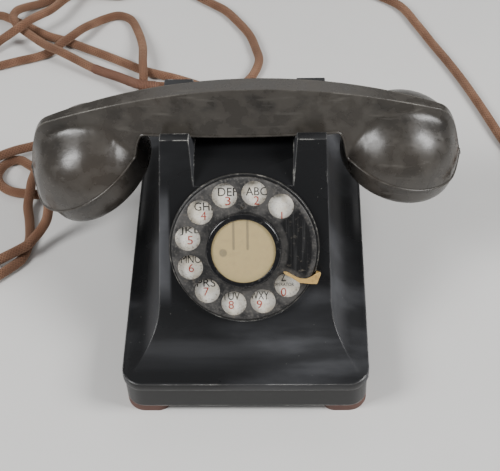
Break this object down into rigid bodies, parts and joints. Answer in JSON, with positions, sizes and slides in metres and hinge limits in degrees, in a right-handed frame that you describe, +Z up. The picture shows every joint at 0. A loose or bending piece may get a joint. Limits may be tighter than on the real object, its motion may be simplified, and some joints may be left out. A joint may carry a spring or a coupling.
{
  "type": "rotary telephone",
  "caption": "Black rotary desk telephone with a lift-off handset on cradle ears, a tilted finger-wheel dial, two-gong ringer inside and brown cloth cords.",
  "frame": {"origin": "on the floor under the middle of the object, measured without its cords", "axes": "+X to the right of a person dialling, +Y away from them towards the rear, +Z up"},
  "size_m": [0.4782, 0.378, 0.132],
  "materials": {
    "black_case": "worn semi-gloss black",
    "bakelite": "dark brown-grey moulding, worn",
    "black_paint": "satin black enamel",
    "rubber_feet": "matt brown rubber",
    "steel": "plain steel",
    "brass": "dull brass",
    "white_enamel": "off-white enamel",
    "card": "cream card",
    "window": "clear cover",
    "stop_metal": "tarnished cream-yellow",
    "fibre": "brown fibre board",
    "cord_cloth": "brown cotton braid"
  },
  "bodies": {
    "base": {"housing": "black_case", "base_plate": "black_paint", "feet": "rubber_feet", "base_screws": "steel", "base_grommets": "rubber_feet", "dial_frame": "black_paint", "number_plate": "white_enamel", "finger_stop": "stop_metal", "main_spring": "steel", "pulse_springs": "brass", "governor_cup": "brass", "dial_screws": "steel", "hook_bracket": "steel", "hook_pin": "steel", "hook_switch": "brass", "hook_screws": "steel", "ringer_frame": "steel", "ringer_coils": "fibre", "ringer_magnet": "steel", "gongs": "brass", "gong_screws": "steel", "condenser": "steel", "induction_coil": "fibre", "terminal_block": "fibre", "terminal_screws": "brass", "handset_cord": "cord_cloth", "line_cord": "cord_cloth", "line_coil": "cord_cloth", "plug_body": "fibre", "plug_pins": "brass"},
    "dial": {"finger_wheel": "black_paint", "card_holder": "steel", "number_card": "card", "card_window": "window", "card_retainer": "black_paint", "dial_shaft": "steel", "main_gear": "brass"},
    "pulse_drive": {"pulse_pinion": "brass"},
    "speed_governor": {"governor": "steel"},
    "cradle_lever": {"hook_lever": "steel"},
    "cradle_plungers": {"plungers": "steel"},
    "bell_clapper": {"clapper": "steel"},
    "handset": {"handset_handle": "bakelite", "transmitter_cap": "bakelite", "receiver_cap": "bakelite", "transmitter_unit": "steel", "receiver_unit": "steel", "transmitter_contacts": "brass", "handset_gland": "rubber_feet"}
  },
  "joints": [
    {"name": "handset_lift", "type": "slide", "parent": "base", "child": "handset", "axis": [0, 0, 1], "range_m": [0, 0.12]},
    {"name": "plunger_rise", "type": "slide", "parent": "base", "child": "cradle_plungers", "axis": [0, 0, 1], "range_m": [0, 0.006]},
    {"name": "cradle_lever_turn", "type": "hinge", "parent": "base", "child": "cradle_lever", "pos_m": [0, 0.042, 0.079], "axis": [-1, 0, 0], "range_deg": [0, 12.1]},
    {"name": "dial_turn", "type": "hinge", "parent": "base", "child": "dial", "pos_m": [0, -0.03982, 0.0691], "axis": [0, -0.7826, 0.6225], "range_deg": [-332, 0], "stiffness_Nm_per_rad": 0.008, "springref_deg": 57.3},
    {"name": "pulse_turn", "type": "hinge", "parent": "base", "child": "pulse_drive", "pos_m": [0.0256, -0.03982, 0.0691], "axis": [0, -0.7826, 0.6225], "range_deg": [0, 849]},
    {"name": "governor_turn", "type": "hinge", "parent": "base", "child": "speed_governor", "pos_m": [-0.019, -0.04721, 0.05981], "axis": [0, -0.7826, 0.6225], "range_deg": [0, 1528]},
    {"name": "clapper_swing", "type": "hinge", "parent": "base", "child": "bell_clapper", "pos_m": [0, 0.038, 0.018], "axis": [0, 0, 1], "range_deg": [-3.5, 3.5], "stiffness_Nm_per_rad": 0.01}
  ],
  "couplings": [
    {"joint": "plunger_rise", "follows": "handset_lift", "ratio": 0.05},
    {"joint": "cradle_lever_turn", "follows": "handset_lift", "rad_per_m": 1.745},
    {"joint": "pulse_turn", "follows": "dial_turn", "ratio": -2.5556},
    {"joint": "governor_turn", "follows": "dial_turn", "ratio": -4.6}
  ]
}
